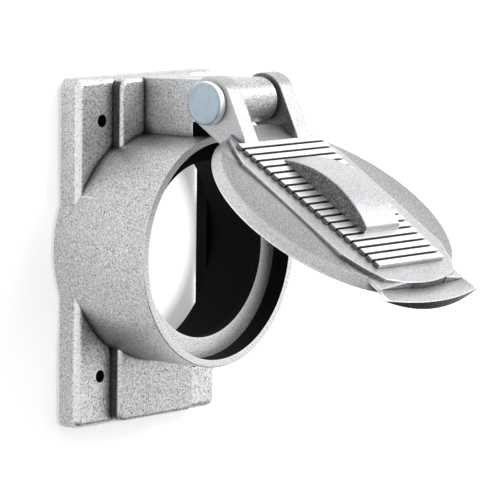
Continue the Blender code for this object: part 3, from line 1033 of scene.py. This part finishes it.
class LIFTCOVER_OT_gasket(bpy.types.Operator):
    """Model the rubber gasket ring inside the lid"""
    bl_idname = "lift_cover.gasket"
    bl_label = "Gasket"

    def execute(self, context):
        inner, outer, back, face = 33.0 * MM, 40.0 * MM, 6.8 * MM, 8.5 * MM
        flat = face - 0.5 * MM
        soft = 0.4 * MM
        profile = [(inner, back), (inner, flat - soft), (inner + soft, flat)]
        for radius in (34.6 * MM, 37.4 * MM):
            profile += [(radius, flat), (radius + 0.25 * MM, face - 0.1 * MM), (radius + 0.6 * MM, face),
                        (radius + 0.95 * MM, face - 0.1 * MM), (radius + 1.2 * MM, flat)]
        profile += [(outer - soft, flat), (outer, flat - soft), (outer, back)]
        ring = turned("gasket", profile, "Y", (0, 0, -HINGE.z), 192, solid=False)
        swing_open(ring)
        finish_piece("gasket", ring, finish_named("gasket_rubber"), "lid", "lid_gasket")
        return {"FINISHED"}


class LIFTCOVER_OT_hinge_pin(bpy.types.Operator):
    """Model the headed hinge pin and the push-on ring that holds it"""
    bl_idname = "lift_cover.hinge_pin"
    bl_label = "Hinge Pin and Ring"

    SLOTS = 5

    def execute(self, context):
        radius, head = 3.0 * MM, 7.2 * MM
        under = -17.3 * MM
        face = PIN_LOW.x
        tip = PIN_HIGH.x
        profile = [(0.6 * MM, face), (head - 1.5 * MM, face + 0.02 * MM),
                   (head - 0.75 * MM, face + 0.12 * MM), (head - 0.3 * MM, face + 0.42 * MM),
                   (head - 0.06 * MM, face + 0.85 * MM), (head, face + 1.3 * MM),
                   (head, under - 0.3 * MM), (head - 0.3 * MM, under), (radius, under),
                   (radius, tip - 0.7 * MM), (radius - 0.25 * MM, tip - 0.2 * MM),
                   (radius - 0.7 * MM, tip)]
        pin = turned("pin", profile, "X", HINGE, 96)
        finish_piece("pin", pin, finish_named("pin_plating"), "lid", "hinge_pin")
        inner, outer, near, far = PIN_HOLE, 5.35 * MM, RING_LOW.x, RING_HIGH.x
        profile = [(inner, far - 0.5 * MM), (inner, far), (inner + 0.5 * MM, far),
                   (outer - 0.7 * MM, near + 0.65 * MM), (outer, near + 0.55 * MM), (outer, near),
                   (outer - 0.8 * MM, near)]
        ring = turned("ring", profile, "X", HINGE, 96, solid=False)
        slots = []
        for i in range(self.SLOTS):
            slot = block("slot", (near - MM, -0.3 * MM, inner - 0.6 * MM),
                         (far + MM, 0.3 * MM, inner + 1.0 * MM))
            slot.rotation_euler.x = 2 * math.pi * i / self.SLOTS
            slot.location = HINGE
            slots.append(applied(slot))
        combine(ring, slots, "DIFFERENCE")
        clean(ring)
        finish_piece("push_ring", ring, finish_named("washer_steel"), "lid",
                     "pin_retaining_ring")
        return {"FINISHED"}


class LIFTCOVER_OT_washers(bpy.types.Operator):
    """Model the two dished friction washers beside the hinge barrel"""
    bl_idname = "lift_cover.washers"
    bl_label = "Friction Washers"

    def execute(self, context):
        inner, outer = PIN_HOLE, 5.95 * MM
        for side, name in ((-1, "left"), (1, "right")):
            near, far = side * WASHER_LOW.x, side * WASHER_HIGH.x
            sheet = side * 0.42 * MM
            lip = side * 0.08 * MM
            profile = [(inner, far), (inner, far - sheet), (outer - 0.1 * MM, near), (outer, near + lip),
                       (outer, near + sheet - lip), (outer - 0.1 * MM, near + sheet)]
            washer = turned("washer", profile, "X", HINGE, 96, solid=False)
            finish_piece("washer_" + name, washer, finish_named("washer_steel"), "plate",
                         "friction_washer_" + name)
        return {"FINISHED"}


class LIFTCOVER_OT_stage(bpy.types.Operator):
    """Make the backdrop, the floor, the soft light and the camera"""
    bl_idname = "lift_cover.stage"
    bl_label = "Studio"

    SKY = ((0.0, 0.015), (0.22, 0.03), (0.36, 0.7), (0.55, 1.0), (0.7, 0.69), (1.0, 0.65))
    SKY_STRENGTH = 1.3
    TURN, RISE, ROLL = math.radians(-50.59), math.radians(6.78), math.radians(0.71)
    TARGET, DISTANCE = (38.99 * MM, -20 * MM, -4.59 * MM), 1.352
    FOCAL_LENGTH = 285.5
    LIGHT_PLACE, LIGHT_TARGET = (0.75, -0.95, 0.9), (0, -0.03, 0)
    LIGHT_SIZE, LIGHT_ENERGY = 0.6, 10.0
    SHEET, WALL_BEHIND, FLOOR_BELOW = 4, 1.2 * MM, 0.9
    PAPER_GLOW, COLLAR_GLOW = 0.38, 1.0

    def placed(self, context, name, data, place, looking):
        """An object at a place, its own -Z along the way it looks."""
        made = bpy.data.objects.new(name, data)
        context.scene.collection.objects.link(made)
        made.location = place
        made.rotation_mode = "QUATERNION"
        made.rotation_quaternion = looking.to_track_quat("-Z", "Y")
        return made

    def camera(self, context):
        flat = math.cos(self.RISE)
        back = Vector((math.sin(self.TURN) * flat, -math.cos(self.TURN) * flat, math.sin(self.RISE)))
        made = self.placed(context, "camera", bpy.data.cameras.new("camera"),
                           Vector(self.TARGET) + back * self.DISTANCE, -back)
        tilt = Matrix.Rotation(self.ROLL, 3, "Z").to_quaternion()
        made.rotation_quaternion = made.rotation_quaternion @ tilt
        made.data.lens = self.FOCAL_LENGTH
        made.data.clip_end = 20
        context.scene.camera = made

    def light(self, context):
        looking = Vector(self.LIGHT_TARGET) - Vector(self.LIGHT_PLACE)
        made = self.placed(context, "key", bpy.data.lights.new("key", "AREA"), self.LIGHT_PLACE, looking)
        made.data.size = self.LIGHT_SIZE
        made.data.energy = self.LIGHT_ENERGY

    def paper(self, look):
        """Pale paper that glows, most behind the collar; seen from its back it is clear."""
        made, tree, shader, place = principled("paper", look.paper, 0.0, 0.9)
        spread = off_axis(tree, apart(tree, place))
        tree.links.new(remap(tree, spread, 30 * MM, 36 * MM, self.COLLAR_GLOW, self.PAPER_GLOW),
                       shader.inputs["Emission Strength"])
        shader.inputs["Emission Color"].default_value = (1.0, 1.0, 1.0, 1.0)
        clear = tree.nodes.new("ShaderNodeBsdfTransparent")
        mix = tree.nodes.new("ShaderNodeMixShader")
        behind = tree.nodes.new("ShaderNodeNewGeometry")
        tree.links.new(behind.outputs["Backfacing"], mix.inputs["Fac"])
        tree.links.new(shader.outputs["BSDF"], mix.inputs[1])
        tree.links.new(clear.outputs["BSDF"], mix.inputs[2])
        tree.links.new(mix.outputs["Shader"], tree.nodes["Material Output"].inputs["Surface"])
        return made

    def sky(self, scene):
        """White all round for the eye; for the metal, bright above and dim below."""
        world = bpy.data.worlds.new("studio")
        scene.world = world
        world.use_nodes = True
        tree = world.node_tree
        seen = tree.nodes["Background"]
        seen.inputs["Color"].default_value = (1.0, 1.0, 1.0, 1.0)
        seen.inputs["Strength"].default_value = 1.0
        felt = tree.nodes.new("ShaderNodeBackground")
        height = apart(tree, tree.nodes.new("ShaderNodeTexCoord").outputs["Generated"])["Z"]
        ramp = tree.nodes.new("ShaderNodeValToRGB")
        ramp.color_ramp.interpolation = "EASE"
        tree.links.new(remap(tree, height, -1.0, 1.0, 0.0, 1.0), ramp.inputs["Fac"])
        stops = ramp.color_ramp.elements
        stops[0].position, stops[-1].position = self.SKY[0][0], self.SKY[-1][0]
        for place, _ in self.SKY[1:-1]:
            stops.new(place)
        for stop, (_, value) in zip(stops, self.SKY):
            stop.color = (value, value, value, 1.0)
        tree.links.new(ramp.outputs["Color"], felt.inputs["Color"])
        felt.inputs["Strength"].default_value = self.SKY_STRENGTH
        ray = tree.nodes.new("ShaderNodeLightPath")
        mix = tree.nodes.new("ShaderNodeMixShader")
        tree.links.new(ray.outputs["Is Camera Ray"], mix.inputs["Fac"])
        tree.links.new(felt.outputs["Background"], mix.inputs[1])
        tree.links.new(seen.outputs["Background"], mix.inputs[2])
        tree.links.new(mix.outputs["Shader"], tree.nodes["World Output"].inputs["Surface"])

    def execute(self, context):
        scene = context.scene
        scene.view_settings.view_transform = "Standard"
        deselect()
        bpy.ops.mesh.primitive_plane_add(size=self.SHEET, location=(0, self.WALL_BEHIND, 0),
                                         rotation=(math.pi / 2, 0, 0))
        wall = applied(context.object)
        wall.name = "backdrop"
        deselect()
        bpy.ops.mesh.primitive_plane_add(size=self.SHEET, location=(0, 0, -self.FLOOR_BELOW))
        floor = applied(context.object)
        floor.name = "floor"
        floor.visible_glossy = floor.visible_diffuse = floor.visible_shadow = False
        paper = self.paper(scene.lift_cover_finish)
        for sheet in (wall, floor):
            sheet.data.materials.append(paper)
        self.sky(scene)
        self.light(context)
        self.camera(context)
        return {"FINISHED"}


class LIFTCOVER_PT_panel(bpy.types.Panel):
    """Buttons and sizes of the lift cover"""
    bl_label = "Lift Cover"
    bl_idname = "LIFTCOVER_PT_panel"
    bl_space_type = "VIEW_3D"
    bl_region_type = "UI"
    bl_category = "Lift Cover"

    def draw(self, context):
        layout = self.layout
        for maker in MAKERS:
            layout.operator(maker.bl_idname)
        for group in SETTINGS:
            settings = getattr(context.scene, group)
            box = layout.box()
            for name in settings.bl_rna.properties.keys():
                if name not in ("rna_type", "name"):
                    box.prop(settings, name)


MAKERS = (LIFTCOVER_OT_cover_plate, LIFTCOVER_OT_lid, LIFTCOVER_OT_gasket, LIFTCOVER_OT_hinge_pin,
          LIFTCOVER_OT_washers, LIFTCOVER_OT_stage)
SETTINGS = {
    "lift_cover_plate": LiftCoverPlateSizes,
    "lift_cover_lid": LiftCoverLidSizes,
    "lift_cover_finish": LiftCoverFinish,
}
CLASSES = (*SETTINGS.values(), *MAKERS, LIFTCOVER_PT_panel)


def register():
    for made in CLASSES:
        bpy.utils.register_class(made)
    for name, kind in SETTINGS.items():
        setattr(bpy.types.Scene, name, PointerProperty(type=kind))


def unregister():
    for name in SETTINGS:
        delattr(bpy.types.Scene, name)
    for made in reversed(CLASSES):
        bpy.utils.unregister_class(made)


def main():
    register()
    for maker in MAKERS:
        group, name = maker.bl_idname.split(".")
        getattr(getattr(bpy.ops, group), name)()


if __name__ == "__main__":
    main()
